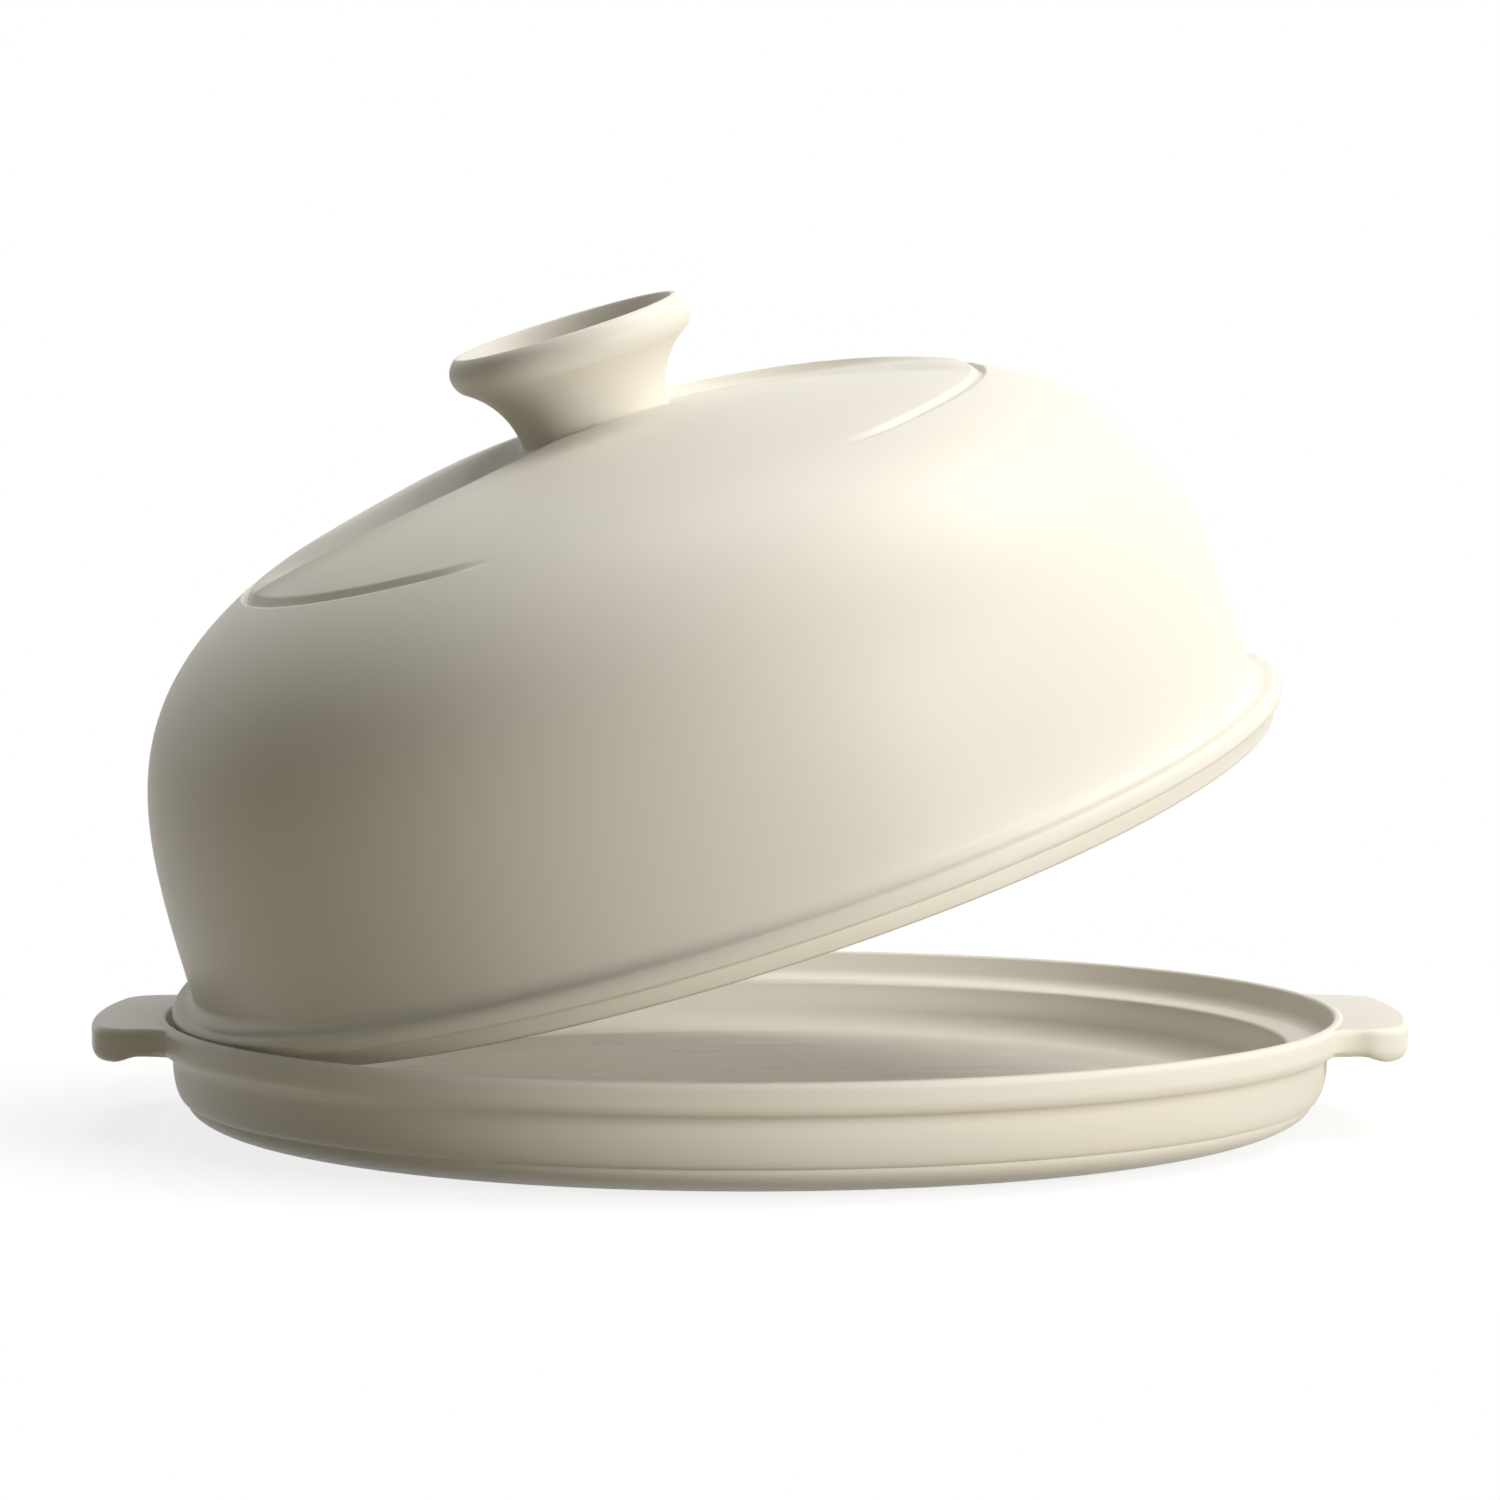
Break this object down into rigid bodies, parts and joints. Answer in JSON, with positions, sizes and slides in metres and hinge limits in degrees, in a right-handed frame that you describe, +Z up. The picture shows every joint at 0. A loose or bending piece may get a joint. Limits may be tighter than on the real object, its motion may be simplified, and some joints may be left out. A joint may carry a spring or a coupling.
{
  "type": "bread cloche",
  "caption": "Round stoneware bread cloche: a shallow dish with tab handles and a tall domed lid with a shallow swirl and a hollow flared knob, tipped open on one edge.",
  "frame": {"origin": "middle of the dish's foot, on the table", "axes": "+Z up, +X through the dish's right-hand handle, +Y away from the picture's camera"},
  "size_m": [0.327, 0.296, 0.207],
  "materials": {
    "dish_glaze": "cream satin glaze, bare clay on the foot ring",
    "dome_glaze": "cream satin glaze, bare clay under the lip",
    "knob_glaze": "cream satin glaze"
  },
  "bodies": {
    "base": {"base_dish": "dish_glaze"},
    "lid": {"lid_dome": "dome_glaze", "lid_knob": "knob_glaze"}
  },
  "joints": [
    {"name": "lid_tip", "type": "hinge", "parent": "base", "child": "lid", "pos_m": [-0.13081, -0.04504, 0.02795], "axis": [0.3256, -0.9455, 0], "range_deg": [-18, 27]}
  ]
}
